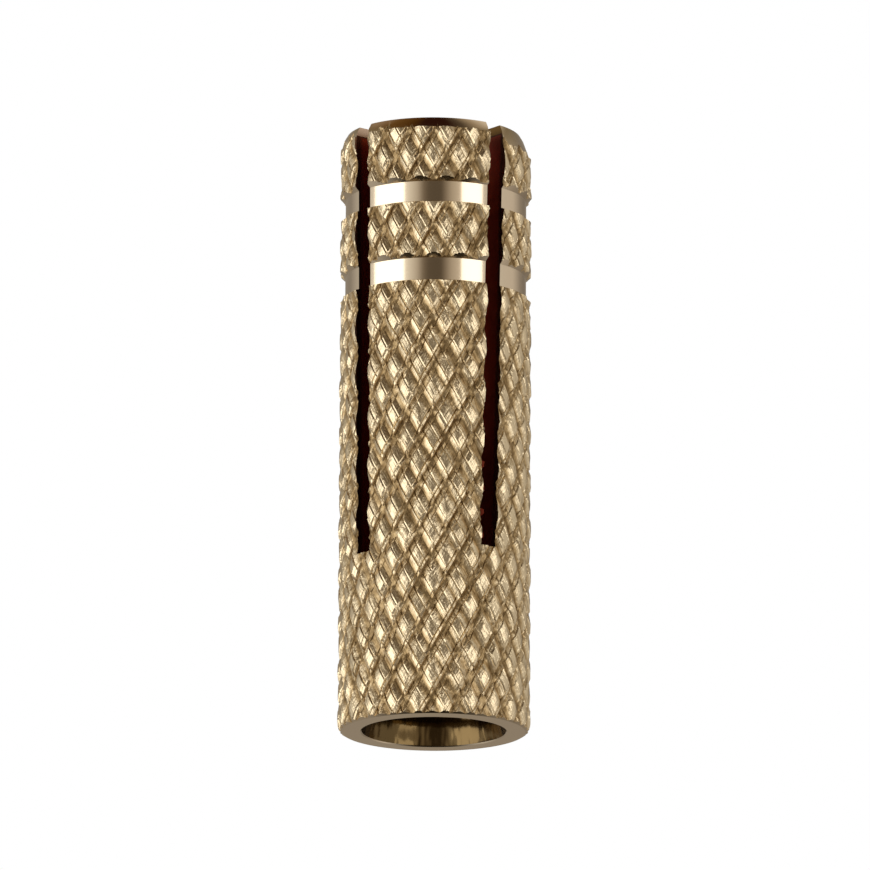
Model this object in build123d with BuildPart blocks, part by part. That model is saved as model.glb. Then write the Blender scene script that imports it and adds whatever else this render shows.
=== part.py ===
from build123d import *
import math
import os

os.makedirs("parts", exist_ok=True)

# A split brass insert. It is one piece, turned from bar: knurled outside, threaded inside from
# its plain end, which is the mouth, and sawn from the other end into four legs. A screw driven
# in at the mouth reaches the narrow end of the bore and spreads the legs against the hole.
# It stands on its mouth at z = 0 with the legs up, its axis on Z. Sizes are in millimetres
# and angles in degrees.

# Bar and ends
outside_dia = 7.9  # over the flats of the knurl, to slide into an 8 mm drilled hole
length = 25.0
mouth_rim_dia = 7.48  # outside of the flat mouth face
mouth_edge_angle = 30.0  # of the turned edge round that face, up from the face
shoulder_dia = 7.46  # plain turned step at the tips of the legs
shoulder_length = 0.45
tip_chamfer = 0.3

# Bore
thread_bore_dia = 5.0  # tapping size of an M6 thread
thread_bore_length = 14.0
countersink_dia = 6.0  # where the bore meets the mouth face, at 45 degrees
narrow_bore_dia = 3.2  # at the tips of the legs

# Diamond knurl, rolled from end to end
knurl_starts = 22  # diamonds in one ring
diamond_length = 1.98  # along the axis, which makes this a 30 degree knurl
knurl_depth = 0.2
knurl_angle = 90.0  # between the two walls of a rolled line
knurl_turn = -126.6  # direction of one diamond of the lowest ring, seen from above
first_ring = -0.28  # height of the lowest ring's middle, so the mouth face cuts it short

# Plain grooves, turned through the knurl near the tips of the legs
groove_depth = 0.23
groove_width = 1.12  # at the flats of the knurl
groove_wall_lean = 37.0  # of the wall nearer the tips, away from square
groove_places = (3.09, 6.36)  # from the tips of the legs to the middle of each groove

# Slits, left by two saw cuts that go right across
slit_width = 0.77
slit_length = 17.9
cut_directions = (41.5, 127.0)  # of each saw cut, seen from above

# Worked out from the sizes above
outside_radius = outside_dia / 2
root_radius = outside_radius - knurl_depth
spare = 0.1  # how far the turned section stands clear of the knurl that it doesn't cut
clear_radius = outside_radius + spare
half_step = 180 / knurl_starts
half_diamond = diamond_length / 2
half_width = math.pi * root_radius / knurl_starts
half_pitch = half_width * half_diamond / math.hypot(half_width, half_diamond)
peak_radius = root_radius + half_pitch / math.tan(math.radians(knurl_angle / 2))


def at(radius, angle, z):
    """The point at this radius, direction and height."""
    return Vector(radius * math.cos(math.radians(angle)), radius * math.sin(math.radians(angle)), z)


def diamond(angle, z):
    """The five faces of one raised diamond, a four-sided pyramid with a flat top."""
    peak = at(peak_radius, angle, z)
    outwards = at(1, angle, 0)
    corners = [
        at(root_radius, angle + half_step, z),
        at(root_radius, angle, z + half_diamond),
        at(root_radius, angle - half_step, z),
        at(root_radius, angle, z - half_diamond),
    ]
    # The flat top is where the pyramid's edges come down to the outside radius.
    top = []
    for corner in corners:
        edge = corner - peak
        top.append(peak + edge * ((outside_radius - peak_radius) / edge.dot(outwards)))
    faces = [Face(Wire.make_polygon(top, close=True))]
    for i in range(4):
        wall = (corners[i], corners[i - 1], top[i - 1], top[i])
        faces.append(Face(Wire.make_polygon(wall, close=True)))
    return faces


def end_fan(angle, z, tip):
    """Triangles that close one end of the knurled bar, from its ragged edge to its axis."""
    faces = []
    for i in range(knurl_starts):
        here = angle + 2 * half_step * i
        point = at(root_radius, here, z + tip)
        for side in (-half_step, half_step):
            beside = at(root_radius, here + side, z)
            faces.append(Face(Wire.make_polygon((point, beside, Vector(0, 0, z)), close=True)))
    return faces


# The knurled bar, longer than the insert at both ends: rings of diamonds, each ring turned by
# half a diamond from the one below.
ring_count = math.ceil((length - first_ring) / half_diamond) + 1
skin = []
for ring in range(ring_count):
    ring_turn = knurl_turn + half_step * (ring % 2)
    for i in range(knurl_starts):
        skin += diamond(ring_turn + 2 * half_step * i, first_ring + half_diamond * ring)
skin += end_fan(knurl_turn, first_ring, -half_diamond)
skin += end_fan(ring_turn, first_ring + half_diamond * (ring_count - 1), half_diamond)
knurled_bar = Solid(Shell(skin))

with BuildPart() as insert_body:
    # Half of the turned section, from the mouth up the outside, over the tips and down the bore
    with BuildSketch(Plane.XZ):
        with BuildLine():
            outline = [(countersink_dia / 2, 0), (mouth_rim_dia / 2, 0)]
            edge_rise = math.tan(math.radians(mouth_edge_angle))
            outline.append((clear_radius, (clear_radius - mouth_rim_dia / 2) * edge_rise))
            floor_radius = outside_radius - groove_depth
            lean = math.tan(math.radians(groove_wall_lean))
            for place in reversed(groove_places):
                low_side = length - place - groove_width / 2
                high_side = low_side + groove_width
                outline.append((clear_radius, low_side))
                outline.append((floor_radius, low_side))
                outline.append((floor_radius, high_side - groove_depth * lean))
                outline.append((clear_radius, high_side + spare * lean))
            outline.append((clear_radius, length - shoulder_length))
            outline.append((shoulder_dia / 2, length - shoulder_length))
            outline.append((shoulder_dia / 2, length - tip_chamfer))
            outline.append((shoulder_dia / 2 - tip_chamfer, length))
            bore_radius = thread_bore_dia / 2
            outline.append((narrow_bore_dia / 2, length))
            outline.append((bore_radius, thread_bore_length))
            outline.append((bore_radius, countersink_dia / 2 - bore_radius))
            Polyline(outline, close=True)
        make_face()
    revolve(axis=Axis.Z)
    add(knurled_bar, mode=Mode.INTERSECT)
    # Slits that part the legs
    with BuildSketch(Plane.XY.offset(length - slit_length)):
        for direction in cut_directions:
            Rectangle(2 * outside_dia, slit_width, rotation=direction)
    extrude(amount=2 * slit_length, mode=Mode.SUBTRACT)

insert_body.part.label = "insert_body"
export_step(insert_body.part, "parts/insert_body.step")
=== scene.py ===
import math

import bmesh
import bpy
import numpy as np
from mathutils import Matrix, Vector, noise


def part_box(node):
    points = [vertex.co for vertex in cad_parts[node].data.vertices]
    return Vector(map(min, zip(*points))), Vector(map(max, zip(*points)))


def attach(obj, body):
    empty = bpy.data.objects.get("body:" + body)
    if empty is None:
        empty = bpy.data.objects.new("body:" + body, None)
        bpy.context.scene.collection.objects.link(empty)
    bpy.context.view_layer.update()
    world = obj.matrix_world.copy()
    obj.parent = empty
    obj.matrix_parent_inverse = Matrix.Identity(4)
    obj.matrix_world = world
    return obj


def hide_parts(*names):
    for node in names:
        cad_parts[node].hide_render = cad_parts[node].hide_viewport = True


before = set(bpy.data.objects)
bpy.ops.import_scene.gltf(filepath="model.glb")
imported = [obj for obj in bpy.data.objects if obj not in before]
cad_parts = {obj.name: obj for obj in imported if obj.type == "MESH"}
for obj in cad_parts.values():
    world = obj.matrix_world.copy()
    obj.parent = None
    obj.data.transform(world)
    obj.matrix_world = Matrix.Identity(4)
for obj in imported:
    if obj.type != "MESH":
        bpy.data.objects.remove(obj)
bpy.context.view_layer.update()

# Lengths are in mm up to the finished mesh, which is then made into metres.
MM = 0.001
low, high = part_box("insert_body")
LENGTH = (high.z - low.z) / MM

# Sizes of the insert, the same as in the CAD
OUTSIDE_RADIUS = 3.95
STARTS = 22  # diamonds in one ring
DIAMOND_LENGTH = 1.98
GROOVE_PLACES = (3.09, 6.36)  # from the tips to the middle of each groove
GROOVE_DEPTH = 0.23
MOUTH_RIM_RADIUS = 3.74
MOUTH_EDGE_ANGLE = math.radians(30)
COUNTERSINK_RADIUS = 3.0
BORE_RADIUS = 2.5
BORE_END_RADIUS = 1.6
THREAD_LENGTH = 14.0
SLIT_WIDTH = 0.77

# Sizes of this one insert in the photo, which differ a little from the CAD's
KNURL_TURN = math.radians(-124.4)  # the CAD has -126.6 degrees
FIRST_RING = -0.35  # height of the lowest ring's middle, where the CAD has -0.28
GROOVE_WIDTHS = (1.12, 1.2)  # the CAD has 1.12 for both
# Each saw cut: direction, length, how far it runs off line at its end and just past the tips,
# and the painted light on its edges, lit differently for each cut. The CAD has the same directions, 17.9
# for both and no run off line.
CUTS = (
    (41.5, 18.05, 0.09, 0.3, "#D8BCA4"),
    (127.0, 17.9, 0.14, -0.31, "#7A5C2E"),
)

# The look of the rolled diamonds. Places across a diamond run from -1 at one side to 1 at the other:
# a from its lower left side to its upper right, and b from its upper left to its lower right.
HALF_PITCH = 0.49  # mm from a diamond's middle straight to its side
# How a diamond's sides fall: (side, which way, places where it starts and ends, degrees there)
FLANKS = (
    ("a", -1, 0.35, 1.0, 12, 42),
    ("a", 1, 0.22, 1.0, 22, 30),
    ("b", -1, 0.24, 0.95, 14, 30),
    ("b", -1, 0.91, 1.0, 58, 58),
    ("b", 1, 0.5, 1.0, 18, 30),
)
CROWN = 0.02  # how much the top is rounded
CROWN_MIDDLE = (0.15, 0.3)
TILT = 0.022  # how far a diamond's side may stand higher or lower than its middle
SLIP = 0.04  # how far a diamond may lie off its place, where 1 is half a diamond
STEEPER = 0.2  # share by which a flank may be steeper or flatter
DEEPER = 0.08  # share by which the lines round a diamond may be deeper or shallower
SHORTFALL = 0.008  # how far a diamond's top stands below the outside, on the average
FLOOR_DEPTH = 0.17  # of the rolled lines between the diamonds
DEEPEST = 0.2  # anywhere in the knurl, so that no line reaches the floor of a groove
# Finer lines that the wheels' teeth left beside the main ones: (side, place, half width, depth)
TRACKS = (
    ("a", -0.46, 0.09, 0.05),
    ("a", 0.3, 0.1, 0.042),
    ("b", -0.59, 0.08, 0.045),
    ("b", 0.66, 0.07, 0.05),
)
LUMP_SIZE = 0.45
LUMP_HEIGHT = 0.02
GRAIN_SIZE = 0.16
GRAIN_HEIGHT = 0.02
WEAR_MIDDLE = 0.75  # the unevenness is this strong at the front and back
WEAR_TO_THE_RIGHT = 0.5  # and grows by this much towards the viewer's right
SEED = 11

# The look of the turned and tapped faces
UPPER_WALL_LEAN = 0.85  # of a groove's wall nearer the tips: sideways run for each mm of depth
LOWER_WALL_LEAN = 0.4
SHOULDER = ((3.77, 24.56), (3.71, 24.78), (3.58, 25.0))  # plain step at the tips: (radius, height)
SHOULDER_SHIFT = 0.1  # the tips were turned a little out of true, so one side is cut deeper
SHOULDER_DROP = 0.4  # how much longer the step is on the leg at the viewer's right
SHOULDER_DROP_REACH = 0.67  # cosine of the direction from the viewer's right at which that ends
SHOULDER_DROP_WIDER = 0.06  # how much wider the step starts on that leg
TIP_BEND = 0.06  # how far the tips on one side were pressed in
TIP_BEND_START = 23.85
TIP_BEND_LENGTH = 0.75  # over which it comes in fully
CLEARANCE = 0.3  # how far the turned section stands clear of the knurl that it doesn't cut
BLANK_STEPS = 220  # round the turned section
THREAD_PITCH = 1.0
THREAD_RADIUS = 2.97
THREAD_FORM = (1, 1, 0.2, 0, 0, 0.2)  # one turn of the thread upwards, where 1 is its full depth
THREAD_STEPS = 72  # round one turn
THREAD_BELOW = 1.2  # how far under the mouth the tap starts
TAP_LENGTH = THREAD_LENGTH + 1.5
THREAD_START = 0.15  # share of its depth that the thread has in the countersink
THREAD_START_PLACE = 1.0  # height from which it grows to its full depth
THREAD_START_LENGTH = 2.0
THREAD_FADE_PLACE = THREAD_LENGTH - 0.5  # height at which the thread has run out
THREAD_FADE_LENGTH = 1.5
LEAD_IN_SLOPE = 0.25  # of the long countersink: how much narrower it gets for each mm up
TAP_UNDERSIZE = 0.03  # how far the tap's core stays inside the bore's wall, so that they don't touch
SAW_REACH = 6.0  # half the length of a saw cut across the insert
SAW_OVERRUN = 1.0  # how far a saw cut runs on past the tips
SHARP = math.radians(22)  # an edge that bends more than this shows as an edge

# Sizes of the patterns in the brass. Marks this small would not show at their real size, so the
# streaks, the grain and the rings are drawn coarser than the tools leave them.
STREAK_WIDTH = 0.09  # of the lines that the wheels drag along
STREAK_LENGTH = 0.6
STAIN_PATCH = 0.3
RUB_GRAIN = 0.12
FEED_RINGS = 0.6  # the texture has a ring each 0.314 of this, so they come 0.19 mm apart
CHIP_STREAK_WIDTH = 0.7  # of the marks of chips in the tapped bore
CHIP_STREAK_LENGTH = 4.0
SHADE_FREE_DEPTH = 0.05  # how far below the outside the painted shade of the knurl ends, so that it is at its brightest
SLIT_TOPS_PAINTED_LIGHT = (0.44, 0.36)  # distances from the tips between which the slits' walls turn lighter as painted light
SLIT_EDGES_PAINTED_LIGHT = (0.45, 0.06)  # and depths below the outside between which they do

# The camera, matched to the photo
CAMERA_ELEVATION = math.radians(-13.3)
CAMERA_DISTANCE = 0.5  # m
CAMERA_LENS = 504
CAMERA_AIM_DROP = 0.00004  # m below the middle of the insert
CAMERA_ROLL = math.radians(0.25)  # the photo leans a little to the viewer's left at the foot

# The studio, with its lengths in m
FLOOR_HALF = 0.6
FLOOR_HEIGHT = -0.00003  # just under the mouth face
FLOOR_WHITE = 0.6  # share of plain white in the floor as it is seen, so that it is pale
TENT_RADIUS = 0.9
WORLD_LIGHT = 0.5  # how bright the room is as a light, where it is seen as plain white


def linear(hex_colour):
    """An sRGB hex value as linear red, green, blue and alpha."""
    parts = [int(hex_colour[i : i + 2], 16) / 255 for i in (1, 3, 5)]
    return [p / 12.92 if p <= 0.04045 else ((p + 0.055) / 1.055) ** 2.4 for p in parts] + [1.0]


def add_node(tree, kind, links=(), stops=(), **settings):
    """Adds a node with its settings and links.

    Settings are its own properties or its inputs' values, links are (input, output socket), and
    stops are a colour ramp's (place, hex colour).
    """
    node = tree.nodes.new(kind)
    for name, value in settings.items():
        if hasattr(node, name):
            setattr(node, name, value)
        else:
            node.inputs[name.replace("_", " ")].default_value = value
    for name, socket in links:
        tree.links.new(socket, node.inputs[name])
    if stops:
        elements = node.color_ramp.elements
        while len(elements) < len(stops):
            elements.new(0.5)
        for element, (place, colour) in zip(elements, stops):
            element.position = place
            element.color = linear(colour)
    return node


def new_material(name):
    material = bpy.data.materials.new(name)
    material.use_nodes = True
    material.node_tree.nodes.clear()
    return material, material.node_tree


def streaks(tree, place, twist):
    """Fine lines left by sliding metal, along one of the two ways that the wheels ran."""
    height = add_node(tree, "ShaderNodeSeparateXYZ", [("Vector", place)]).outputs["Z"]
    turn = add_node(tree, "ShaderNodeMath", [(0, height)], operation="MULTIPLY")
    turn.inputs[1].default_value = twist / MM
    straight = add_node(
        tree,
        "ShaderNodeVectorRotate",
        [("Vector", place), ("Angle", turn.outputs[0])],
        rotation_type="Z_AXIS",
    )
    fine = add_node(tree, "ShaderNodeVectorMath", [(0, straight.outputs[0])], operation="MULTIPLY")
    across = 1 / (STREAK_WIDTH * MM)
    fine.inputs[1].default_value = (across, across, 1 / (STREAK_LENGTH * MM))
    return add_node(tree, "ShaderNodeTexNoise", [("Vector", fine.outputs[0])], Scale=1.0, Detail=1.0)


def radius_at(tree, place):
    """How far a place is from the insert's axis, in mm."""
    flat = add_node(tree, "ShaderNodeVectorMath", [(0, place)], operation="MULTIPLY")
    flat.inputs[1].default_value = (1 / MM, 1 / MM, 0)
    length = add_node(tree, "ShaderNodeVectorMath", [(0, flat.outputs[0])], operation="LENGTH")
    return length.outputs["Value"]


def rolled_brass_painted_shade():
    """Brass pressed up between knurling wheels.

    It shows bright burnished facets, with duller lines between them that are painted darker and browner
    with depth as painted shade.
    """
    material, tree = new_material("rolled_brass_painted_shade")
    place = add_node(tree, "ShaderNodeTexCoord").outputs["Object"]
    # Painted shade: the colour darkens with depth below the outside, made patchy by the stain noise.
    depth = add_node(tree, "ShaderNodeMapRange", [("Value", radius_at(tree, place))])
    depth.inputs["From Min"].default_value = OUTSIDE_RADIUS - DEEPEST
    depth.inputs["From Max"].default_value = OUTSIDE_RADIUS - SHADE_FREE_DEPTH
    stain = add_node(
        tree,
        "ShaderNodeTexNoise",
        [("Vector", place)],
        Scale=1 / (STAIN_PATCH * MM),
        Detail=3.0,
    )
    patchy_painted_shade = add_node(
        tree,
        "ShaderNodeMath",
        [(0, depth.outputs["Result"]), (1, stain.outputs["Fac"])],
        operation="ADD",
    )
    height = add_node(tree, "ShaderNodeMapRange", [("Value", patchy_painted_shade.outputs[0])])
    height.inputs["From Min"].default_value = 0.5
    height.inputs["From Max"].default_value = 1.35
    colour = add_node(
        tree,
        "ShaderNodeValToRGB",
        [("Fac", height.outputs["Result"])],
        stops=[(0.0, "#8C7450"), (0.35, "#B69D74"), (1.0, "#E4D2B0")],
    )
    rough = add_node(tree, "ShaderNodeMapRange", [("Value", height.outputs["Result"])])
    rough.inputs["To Min"].default_value = 0.5
    rough.inputs["To Max"].default_value = 0.32
    twist = 2 * math.pi / STARTS / DIAMOND_LENGTH
    both = add_node(
        tree,
        "ShaderNodeMath",
        [
            (0, streaks(tree, place, twist).outputs["Fac"]),
            (1, streaks(tree, place, -twist).outputs["Fac"]),
        ],
        operation="ADD",
    )
    grain = add_node(
        tree,
        "ShaderNodeTexNoise",
        [("Vector", place)],
        Scale=1 / (RUB_GRAIN * MM),
        Detail=2.0,
    )
    rubbed = add_node(
        tree,
        "ShaderNodeMath",
        [(0, both.outputs[0]), (1, grain.outputs["Fac"])],
        operation="ADD",
    )
    bump = add_node(
        tree,
        "ShaderNodeBump",
        [("Height", rubbed.outputs[0])],
        Strength=1.0,
        Distance=0.017 * MM,
    )
    shader = add_node(
        tree,
        "ShaderNodeBsdfPrincipled",
        [
            ("Base Color", colour.outputs["Color"]),
            ("Roughness", rough.outputs["Result"]),
            ("Normal", bump.outputs["Normal"]),
        ],
        Metallic=1.0,
    )
    add_node(tree, "ShaderNodeOutputMaterial", [("Surface", shader.outputs[0])])
    return material


def turned_brass():
    """Brass left bright by the lathe tool, with faint rings that follow its feed."""
    material, tree = new_material("turned_brass")
    place = add_node(tree, "ShaderNodeTexCoord").outputs["Object"]
    rings = add_node(
        tree,
        "ShaderNodeTexWave",
        [("Vector", place)],
        Scale=1 / (FEED_RINGS * MM),
        Distortion=0.4,
    )
    rings.bands_direction = "Z"
    bump = add_node(
        tree,
        "ShaderNodeBump",
        [("Height", rings.outputs["Fac"])],
        Strength=0.4,
        Distance=0.0004 * MM,
    )
    shader = add_node(
        tree,
        "ShaderNodeBsdfPrincipled",
        [("Normal", bump.outputs["Normal"])],
        Metallic=1.0,
        Roughness=0.13,
        Base_Color=linear("#E7D6BC"),
    )
    add_node(tree, "ShaderNodeOutputMaterial", [("Surface", shader.outputs[0])])
    return material


def sawn_brass_painted_light_and_shade(name, lit_edge_colour):
    """Brass left dull by the slitting saw.

    Its dark red-brown stands in as painted shade in the slit, and it turns lighter at the tips and the
    outer edges as painted light, with a lit colour of its own for each cut.
    """
    material, tree = new_material(name)
    place = add_node(tree, "ShaderNodeTexCoord").outputs["Object"]
    up = add_node(tree, "ShaderNodeSeparateXYZ", [("Vector", place)])
    # Painted light: the walls turn lighter towards the tips and the outer edges, where light falls into
    # the slit.
    tips = add_node(tree, "ShaderNodeMapRange", [("Value", up.outputs["Z"])])
    tips.inputs["From Min"].default_value = (LENGTH - SLIT_TOPS_PAINTED_LIGHT[0]) * MM
    tips.inputs["From Max"].default_value = (LENGTH - SLIT_TOPS_PAINTED_LIGHT[1]) * MM
    edges = add_node(tree, "ShaderNodeMapRange", [("Value", radius_at(tree, place))])
    edges.inputs["From Min"].default_value = OUTSIDE_RADIUS - SLIT_EDGES_PAINTED_LIGHT[0]
    edges.inputs["From Max"].default_value = OUTSIDE_RADIUS - SLIT_EDGES_PAINTED_LIGHT[1]
    painted_light_share = add_node(
        tree,
        "ShaderNodeMath",
        [(0, tips.outputs["Result"]), (1, edges.outputs["Result"])],
        operation="MAXIMUM",
    )
    colour = add_node(
        tree,
        "ShaderNodeValToRGB",
        [("Fac", painted_light_share.outputs[0])],
        stops=[(0.0, "#9E4430"), (0.4, "#5E3A2C"), (0.8, "#5E3A2C"), (1.0, lit_edge_colour)],
    )
    shader = add_node(
        tree,
        "ShaderNodeBsdfPrincipled",
        [("Base Color", colour.outputs["Color"])],
        Metallic=1.0,
        Roughness=0.34,
    )
    add_node(tree, "ShaderNodeOutputMaterial", [("Surface", shader.outputs[0])])
    return material


def tapped_brass_painted_shade():
    """Brass cut by the tap, painted dark as painted shade in the bore.

    It is smooth and dark, with streaks where chips were dragged along the bore.
    """
    material, tree = new_material("tapped_brass_painted_shade")
    place = add_node(tree, "ShaderNodeTexCoord").outputs["Object"]
    long = add_node(tree, "ShaderNodeVectorMath", [(0, place)], operation="MULTIPLY")
    across = 1 / (CHIP_STREAK_WIDTH * MM)
    long.inputs[1].default_value = (across, across, 1 / (CHIP_STREAK_LENGTH * MM))
    streak = add_node(tree, "ShaderNodeTexNoise", [("Vector", long.outputs[0])], Scale=1.0, Detail=2.0)
    bump = add_node(
        tree,
        "ShaderNodeBump",
        [("Height", streak.outputs["Fac"])],
        Strength=1.0,
        Distance=0.1 * MM,
    )
    # The dark base colour is painted shade in the bore.
    shader = add_node(
        tree,
        "ShaderNodeBsdfPrincipled",
        [("Normal", bump.outputs["Normal"])],
        Metallic=1.0,
        Roughness=0.17,
        Base_Color=linear("#6E5B3C"),
    )
    add_node(tree, "ShaderNodeOutputMaterial", [("Surface", shader.outputs[0])])
    return material


def mesh_object(name, points, faces, material):
    mesh = bpy.data.meshes.new(name)
    mesh.from_pydata([tuple(p) for p in points], [], [tuple(int(i) for i in f) for f in faces])
    mesh.materials.append(material)
    obj = bpy.data.objects.new(name, mesh)
    bpy.context.collection.objects.link(obj)
    return obj


# Where the mesh lines lie across a diamond: close together at the fine lines
STATIONS_A = np.array([-1, -0.86, -0.7, -0.55, -0.46, -0.37, -0.1, 0.2, 0.3, 0.4, 0.6, 0.8, 1])
STATIONS_B = np.array(
    [-1, -0.93, -0.8, -0.67, -0.59, -0.51, -0.24, 0.1, 0.45, 0.59, 0.66, 0.73, 0.88, 1]
)


def knurl_radius(a, b, luck):
    """Radius of the knurl at places a and b in a diamond. Luck makes each diamond a little different."""
    places = {"a": a + SLIP * luck[1], "b": b + SLIP * luck[2]}
    drop = CROWN * ((places["a"] - CROWN_MIDDLE[0]) ** 2 + (places["b"] - CROWN_MIDDLE[1]) ** 2)
    drop += TILT * (luck[4] * a + luck[5] * b)
    fall = np.zeros_like(drop)
    for number, (side, way, start, end, first, last) in enumerate(FLANKS):
        first, last = math.tan(math.radians(first)), math.tan(math.radians(last))
        beyond = np.clip(way * places[side] - start, 0, None)
        bend = (last - first) / (end - start) / 2
        steeper = 1 + STEEPER * luck[3 + number % 4]
        fall = np.maximum(fall, HALF_PITCH * steeper * (first * beyond + bend * beyond**2))
    drop = np.minimum(drop + fall, FLOOR_DEPTH * (1 + DEEPER * luck[0]))
    for side, place, half_width, depth in TRACKS:
        drop += depth * np.clip(1 - np.abs(places[side] - place) / half_width, 0, 1)
    drop = np.minimum(drop, DEEPEST)
    return OUTSIDE_RADIUS - drop - SHORTFALL * (1 + luck[6])


def knurled_bar(material):
    """A closed bar of rolled diamonds, longer than the insert at both ends."""
    cells_a, cells_b = len(STATIONS_A) - 1, len(STATIONS_B) - 1
    rings = math.ceil((LENGTH - FIRST_RING) / (DIAMOND_LENGTH / 2)) + 1
    centres = []
    for ring in range(rings):
        for i in range(STARTS):
            around = i + (ring % 2) / 2
            along = ring / 2
            centres.append((round(around + along), round(around - along)))
    centres = np.array(centres)
    s, t = np.meshgrid(np.arange(cells_a + 1), np.arange(cells_b + 1), indexing="ij")
    index_u = (centres[:, 0, None, None] * cells_a + s).reshape(len(centres), -1)
    index_v = (centres[:, 1, None, None] * cells_b + t).reshape(len(centres), -1)
    u = (centres[:, 0, None, None] + STATIONS_A[s] / 2).reshape(len(centres), -1)
    v = (centres[:, 1, None, None] + STATIONS_B[t] / 2).reshape(len(centres), -1)
    luck = np.random.default_rng(SEED).uniform(-1, 1, (7, len(centres), 1))
    turn = KNURL_TURN + 2 * math.pi * (u + v) / 2 / STARTS
    height = FIRST_RING + DIAMOND_LENGTH * (u - v) / 2
    radius = knurl_radius(2 * (u - centres[:, 0, None]), 2 * (v - centres[:, 1, None]), luck)
    wraps = np.floor_divide(index_v, STARTS * cells_b)
    # One number for each place on the bar, so that diamonds share the points on their sides.
    key_step = 1000003
    key = (index_u - wraps * STARTS * cells_a) * key_step + (index_v - wraps * STARTS * cells_b)
    _, first, inverse = np.unique(key.ravel(), return_index=True, return_inverse=True)
    around = np.stack([np.cos(turn), np.sin(turn)], axis=-1).reshape(-1, 2)[first]
    radius = radius.ravel()[first]
    height = height.ravel()[first]
    points = []
    for (x, y), r, z in zip(around, radius, height):
        spot = Vector((x * OUTSIDE_RADIUS, y * OUTSIDE_RADIUS, z))
        wear = WEAR_MIDDLE + WEAR_TO_THE_RIGHT * x
        r += wear * LUMP_HEIGHT * noise.noise(spot / LUMP_SIZE)
        r += wear * GRAIN_HEIGHT * noise.noise(spot / GRAIN_SIZE)
        r = min(r, OUTSIDE_RADIUS)
        bent = min(1, max(0, (z - TIP_BEND_START) / TIP_BEND_LENGTH))
        r -= TIP_BEND * max(0, x) ** 2 * bent
        points.append((x * r, y * r, z))
    number = inverse.reshape(len(centres), cells_a + 1, cells_b + 1)
    corners = [number[:, :-1, :-1], number[:, 1:, :-1], number[:, 1:, 1:], number[:, :-1, 1:]]
    quads = np.stack(corners, axis=-1)
    obj = mesh_object("knurled_bar", points, quads.reshape(-1, 4), material)
    close_ends(obj)
    return obj


def close_ends(obj):
    """Closes each open end of a bar with a fan from its axis."""
    bm = bmesh.new()
    bm.from_mesh(obj.data)
    ends = [e for e in bm.edges if e.is_boundary]
    middle = LENGTH / 2
    for top in (False, True):
        ring = [e for e in ends if (e.verts[0].co.z > middle) == top]
        level = (max if top else min)(e.verts[0].co.z for e in ring)
        hub = bm.verts.new((0, 0, level))
        for edge in ring:
            bm.faces.new((edge.verts[0], edge.verts[1], hub))
    bmesh.ops.recalc_face_normals(bm, faces=bm.faces)
    bm.to_mesh(obj.data)
    bm.free()


def turned_section():
    """The turned section, from the mouth up the outside, over the tips and down the bore."""
    clear = OUTSIDE_RADIUS + CLEARANCE
    floor = OUTSIDE_RADIUS - GROOVE_DEPTH
    mouth_edge_top = (clear - MOUTH_RIM_RADIUS) * math.tan(MOUTH_EDGE_ANGLE)
    section = [(COUNTERSINK_RADIUS, 0), (MOUTH_RIM_RADIUS, 0), (clear, mouth_edge_top)]
    for place, width in reversed(list(zip(GROOVE_PLACES, GROOVE_WIDTHS))):
        low_side = LENGTH - place - width / 2
        high_side = low_side + width
        section += [
            (clear, low_side - LOWER_WALL_LEAN * (clear - OUTSIDE_RADIUS)),
            (floor, low_side + LOWER_WALL_LEAN * GROOVE_DEPTH),
            (floor, high_side - UPPER_WALL_LEAN * GROOVE_DEPTH),
            (clear, high_side + UPPER_WALL_LEAN * (clear - OUTSIDE_RADIUS)),
        ]
    section += [(clear, SHOULDER[0][1]), *SHOULDER]
    section += [
        (BORE_END_RADIUS, LENGTH),
        (BORE_RADIUS, THREAD_LENGTH),
        (BORE_RADIUS, COUNTERSINK_RADIUS - BORE_RADIUS),
    ]
    return section


def turned_blank(material):
    """A solid of the turned section, with the step at the tips out of true."""
    section = turned_section()
    points = []
    faces = []
    count = len(section)
    for j in range(BLANK_STEPS):
        a = 2 * math.pi * j / BLANK_STEPS
        for radius, z in section:
            if z == SHOULDER[0][1] and math.cos(a) > SHOULDER_DROP_REACH:
                z -= SHOULDER_DROP
                radius += SHOULDER_DROP_WIDER
            shift = SHOULDER_SHIFT if z >= SHOULDER[0][1] and radius > BORE_END_RADIUS else 0
            points.append((radius * math.cos(a) - shift, radius * math.sin(a), z))
        for k in range(count):
            here = j * count
            there = (j + 1) % BLANK_STEPS * count
            after = (k + 1) % count
            faces.append((here + k, there + k, there + after, here + after))
    return mesh_object("turned_blank", points, faces, material)


def saw_cut(direction, length, end_shift, tip_shift, material):
    """The space that one pass of the saw takes out, right across the insert and a little out of line."""
    half_width = SLIT_WIDTH / 2
    a = math.radians(direction)
    along = Vector((math.cos(a), math.sin(a), 0))
    across = Vector((-math.sin(a), math.cos(a), 0))
    points = []
    for z, shift in ((LENGTH - length, end_shift), (LENGTH + SAW_OVERRUN, tip_shift)):
        for s, t in ((-1, -1), (1, -1), (1, 1), (-1, 1)):
            flat = along * (s * SAW_REACH) + across * (t * half_width + shift)
            points.append(flat + Vector((0, 0, z)))
    faces = [(3, 2, 1, 0), (4, 5, 6, 7), (0, 1, 5, 4), (1, 2, 6, 5), (2, 3, 7, 6), (3, 0, 4, 7)]
    return mesh_object("saw_cut", points, faces, material)


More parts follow.
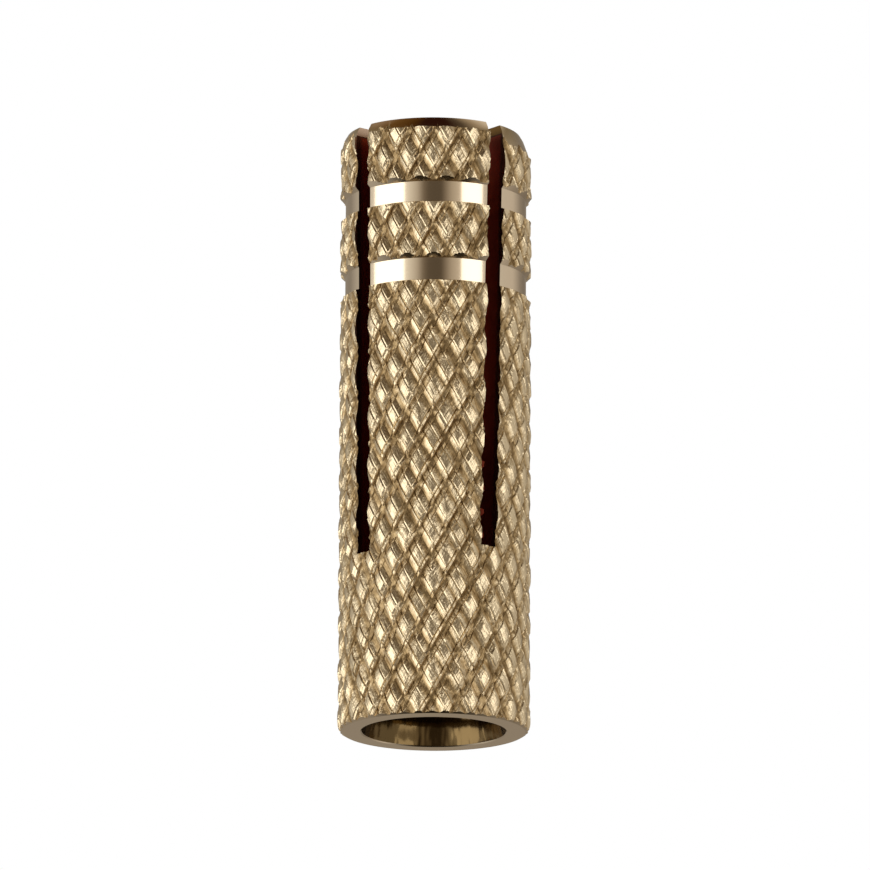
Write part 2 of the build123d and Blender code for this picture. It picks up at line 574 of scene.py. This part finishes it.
def tap(material):
    """The space that the tap takes out: a right-handed M6 thread from the mouth."""
    per_turn = len(THREAD_FORM)
    rows = int(TAP_LENGTH / THREAD_PITCH * per_turn) + 1
    points = []
    for j in range(THREAD_STEPS):
        a = 2 * math.pi * j / THREAD_STEPS
        for k in range(rows):
            z = -THREAD_BELOW + THREAD_PITCH * (j / THREAD_STEPS + k / per_turn)
            lead = max(BORE_RADIUS - TAP_UNDERSIZE, THREAD_RADIUS - LEAD_IN_SLOPE * max(0, z))
            grown = max(0, z - THREAD_START_PLACE) / THREAD_START_LENGTH
            start = min(1, THREAD_START + grown)
            fade = min(1, max(0, (THREAD_FADE_PLACE - z) / THREAD_FADE_LENGTH))
            r = lead + (THREAD_RADIUS - lead) * start * fade * THREAD_FORM[k % per_turn]
            points.append((r * math.cos(a), r * math.sin(a), z))
    faces = []
    for j in range(THREAD_STEPS):
        for k in range(rows - 1):
            a, b = j * rows + k, j * rows + k + 1
            if j < THREAD_STEPS - 1:
                c, d = a + rows, b + rows
            else:
                c, d = k + per_turn, k + per_turn + 1
                if d >= rows:
                    continue
            faces.append((a, c, d, b))
    obj = mesh_object("tap", points, faces, material)
    close_ends(obj)
    return obj


def cut(body, tool, operation):
    change = body.modifiers.new(tool.name, "BOOLEAN")
    change.operation = operation
    change.object = tool
    change.solver = "MANIFOLD"
    change.material_mode = "TRANSFER"


def make_insert():
    rolled, turned, tapped = rolled_brass_painted_shade(), turned_brass(), tapped_brass_painted_shade()
    bar = knurled_bar(rolled)
    tools = [turned_blank(turned)]
    cut(bar, tools[0], "INTERSECT")
    for number, (direction, length, end_shift, tip_shift, lit_edge_colour) in enumerate(CUTS, 1):
        sawn = sawn_brass_painted_light_and_shade(f"sawn_brass_painted_light_and_shade_{number}", lit_edge_colour)
        tools.append(saw_cut(direction, length, end_shift, tip_shift, sawn))
        cut(bar, tools[-1], "DIFFERENCE")
    tools.append(tap(tapped))
    cut(bar, tools[-1], "DIFFERENCE")
    seen = bpy.context.evaluated_depsgraph_get()
    mesh = bpy.data.meshes.new_from_object(bar.evaluated_get(seen))
    mesh.transform(Matrix.Scale(MM, 4))
    insert = bpy.data.objects.new("knurled_insert", mesh)
    bpy.context.collection.objects.link(insert)
    for tool in tools + [bar]:
        bpy.data.objects.remove(tool)
    mesh.polygons.foreach_set("use_smooth", [True] * len(mesh.polygons))
    bm = bmesh.new()
    bm.from_mesh(mesh)
    for edge in bm.edges:
        edge.smooth = len(edge.link_faces) == 2 and edge.calc_face_angle(0) < SHARP
    bm.to_mesh(mesh)
    bm.free()
    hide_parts("insert_body")
    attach(insert, "root")


def seen_directly(tree):
    """1 where something is seen, also by way of metal or glass, and 0 where it lights other things."""
    path = add_node(tree, "ShaderNodeLightPath")
    straight_or_metal = add_node(
        tree,
        "ShaderNodeMath",
        [(0, path.outputs["Is Camera Ray"]), (1, path.outputs["Is Glossy Ray"])],
        operation="MAXIMUM",
    )
    any_of_them = add_node(
        tree,
        "ShaderNodeMath",
        [(0, straight_or_metal.outputs[0]), (1, path.outputs["Is Transmission Ray"])],
        operation="MAXIMUM",
    )
    return any_of_them.outputs[0]


def make_floor():
    """A pale floor that is seen from above only, since the camera looks from a little below."""
    material, tree = new_material("pale_floor")
    side = add_node(tree, "ShaderNodeNewGeometry")
    paint = add_node(tree, "ShaderNodeBsdfDiffuse", Color=linear("#F2F2F0"))
    white = add_node(tree, "ShaderNodeEmission", Color=linear("#FFFFFF"))
    share = add_node(tree, "ShaderNodeMath", [(0, seen_directly(tree))], operation="MULTIPLY")
    share.inputs[1].default_value = FLOOR_WHITE
    pale = add_node(
        tree,
        "ShaderNodeMixShader",
        [(0, share.outputs[0]), (1, paint.outputs[0]), (2, white.outputs[0])],
    )
    clear = add_node(tree, "ShaderNodeBsdfTransparent")
    both = add_node(
        tree,
        "ShaderNodeMixShader",
        [(0, side.outputs["Backfacing"]), (1, pale.outputs[0]), (2, clear.outputs[0])],
    )
    add_node(tree, "ShaderNodeOutputMaterial", [("Surface", both.outputs[0])])
    half, z = FLOOR_HALF, FLOOR_HEIGHT
    points = [(-half, -half, z), (half, -half, z), (half, half, z), (-half, half, z)]
    floor = mesh_object("floor", points, [(0, 1, 2, 3)], material)
    floor.visible_glossy = False
    floor.visible_shadow = False


def make_tent():
    """The cloth tent round the table, seen only in the metal.

    It is pale at the sides, with a dark slot for the camera. Its foot is dark. Its top is dark
    over the camera's side, and pale at the right and behind.
    """
    material, tree = new_material("tent_cloth")
    place = add_node(tree, "ShaderNodeTexCoord").outputs["Object"]
    direction = add_node(tree, "ShaderNodeVectorMath", [(0, place)], operation="NORMALIZE")
    # Turned so that 0.5 is the camera's side, and the value grows towards the viewer's right.
    turned = add_node(tree, "ShaderNodeMapping", [("Vector", direction.outputs[0])])
    turned.inputs["Rotation"].default_value = (0, 0, math.radians(90))
    round_value = add_node(
        tree,
        "ShaderNodeTexGradient",
        [("Vector", turned.outputs[0])],
        gradient_type="RADIAL",
    )

    def at(azimuth):
        return 0.5 + azimuth / 360

    sides = add_node(
        tree,
        "ShaderNodeValToRGB",
        [("Fac", round_value.outputs["Fac"])],
        stops=[
            (at(-180), "#948A7C"),
            (at(-140), "#908A82"),
            (at(-95), "#DCD8D2"),
            (at(-38), "#F0ECE4"),
            (at(-24), "#C0B8AC"),
            (at(-16), "#7A6E60"),
            (at(-9), "#5E5448"),
            (at(7), "#5A5044"),
            (at(13), "#8A7E70"),
            (at(20), "#B4AA9C"),
            (at(31), "#CEC4B6"),
            (at(65), "#CCC6BE"),
            (at(92), "#CEC8C0"),
            (at(116), "#CAC2B8"),
            (at(136), "#948C82"),
            (at(152), "#80786E"),
            (at(180), "#948A7C"),
        ],
    )
    up = add_node(tree, "ShaderNodeSeparateXYZ", [("Vector", direction.outputs[0])])
    height = add_node(tree, "ShaderNodeMapRange", [("Value", up.outputs["Z"])])
    height.inputs["From Min"].default_value = -1
    above_and_below = add_node(
        tree,
        "ShaderNodeValToRGB",
        [("Fac", height.outputs["Result"])],
        stops=[(0.0, "#241E14"), (0.14, "#30281C"), (0.8, "#7A6C50"), (0.93, "#4E4430")],
    )
    share = add_node(
        tree,
        "ShaderNodeValToRGB",
        [("Fac", height.outputs["Result"])],
        stops=[(0.03, "#FFFFFF"), (0.14, "#000000"), (0.72, "#000000"), (0.82, "#FFFFFF")],
    )
    tops = add_node(
        tree,
        "ShaderNodeValToRGB",
        [("Fac", round_value.outputs["Fac"])],
        stops=[
            (at(-110), "#94806A"),
            (at(-75), "#6A4C26"),
            (at(-40), "#503412"),
            (at(-18), "#2C140C"),
            (at(25), "#2C140C"),
            (at(48), "#54483A"),
            (at(72), "#A0907A"),
            (at(105), "#D8CEC0"),
            (at(150), "#D8CEC0"),
        ],
    )
    top_share = add_node(
        tree,
        "ShaderNodeValToRGB",
        [("Fac", height.outputs["Result"])],
        stops=[(0.81, "#000000"), (0.87, "#FFFFFF")],
    )
    dome = add_node(tree, "ShaderNodeMix", [("Factor", top_share.outputs["Color"])], data_type="RGBA")
    tree.links.new(above_and_below.outputs["Color"], dome.inputs[6])
    tree.links.new(tops.outputs["Color"], dome.inputs[7])
    both = add_node(tree, "ShaderNodeMix", [("Factor", share.outputs["Color"])], data_type="RGBA")
    tree.links.new(sides.outputs["Color"], both.inputs[6])
    tree.links.new(dome.outputs[2], both.inputs[7])
    glow = add_node(tree, "ShaderNodeEmission", [("Color", both.outputs[2])])
    add_node(tree, "ShaderNodeOutputMaterial", [("Surface", glow.outputs[0])])
    mesh = bpy.data.meshes.new("tent")
    bm = bmesh.new()
    bmesh.ops.create_uvsphere(bm, u_segments=48, v_segments=24, radius=TENT_RADIUS)
    bm.to_mesh(mesh)
    bm.free()
    mesh.materials.append(material)
    tent = bpy.data.objects.new("tent", mesh)
    bpy.context.collection.objects.link(tent)
    tent.visible_camera = False
    tent.visible_diffuse = False
    tent.visible_shadow = False


def make_world():
    world = bpy.data.worlds.new("studio")
    bpy.context.scene.world = world
    world.use_nodes = True
    tree = world.node_tree
    tree.nodes.clear()
    white = add_node(tree, "ShaderNodeBackground", Color=(1, 1, 1, 1), Strength=1.0)
    dim = add_node(tree, "ShaderNodeBackground", Color=(1, 1, 1, 1), Strength=WORLD_LIGHT)
    mix = add_node(
        tree,
        "ShaderNodeMixShader",
        [(0, seen_directly(tree)), (1, dim.outputs[0]), (2, white.outputs[0])],
    )
    add_node(tree, "ShaderNodeOutputWorld", [("Surface", mix.outputs[0])])


def make_camera():
    aim = Vector((0.0, 0, LENGTH / 2 * MM - CAMERA_AIM_DROP))
    cam = bpy.data.cameras.new("camera")
    cam.sensor_width = 36
    cam.lens = CAMERA_LENS
    cam.clip_start = 0.01
    obj = bpy.data.objects.new("camera", cam)
    bpy.context.collection.objects.link(obj)
    away = Vector((0, -math.cos(CAMERA_ELEVATION), math.sin(CAMERA_ELEVATION)))
    obj.location = aim + away * CAMERA_DISTANCE
    upright = Matrix.Rotation(math.radians(90) - CAMERA_ELEVATION, 3, "X")
    obj.rotation_euler = (upright @ Matrix.Rotation(CAMERA_ROLL, 3, "Z")).to_euler()
    bpy.context.scene.camera = obj


def softbox(name, azimuth, elevation, distance, width, height, glow):
    """A lamp panel that faces the insert. Glow is how bright its cloth is, where 1 is plain white."""
    a, e = math.radians(azimuth), math.radians(elevation)
    aim = Vector((0, 0, LENGTH / 2 * MM))
    light = bpy.data.lights.new(name, "AREA")
    light.shape = "RECTANGLE"
    light.size = width
    light.size_y = height
    light.energy = glow * math.pi * width * height
    obj = bpy.data.objects.new(name, light)
    bpy.context.collection.objects.link(obj)
    offset = Vector((math.sin(a) * math.cos(e), -math.cos(a) * math.cos(e), math.sin(e))) * distance
    obj.location = aim + offset
    obj.rotation_euler = offset.to_track_quat("Z", "Y").to_euler()


def main():
    make_insert()
    make_floor()
    make_tent()
    make_world()
    softbox(
        "left_softbox",
        azimuth=-62.5,
        elevation=-5,
        distance=0.3,
        width=0.25,
        height=0.34,
        glow=1.35,
    )
    softbox(
        "right_softbox",
        azimuth=47,
        elevation=7,
        distance=0.3,
        width=0.15,
        height=0.25,
        glow=1.4,
    )
    make_camera()
    bpy.context.scene.view_settings.view_transform = "Standard"


main()
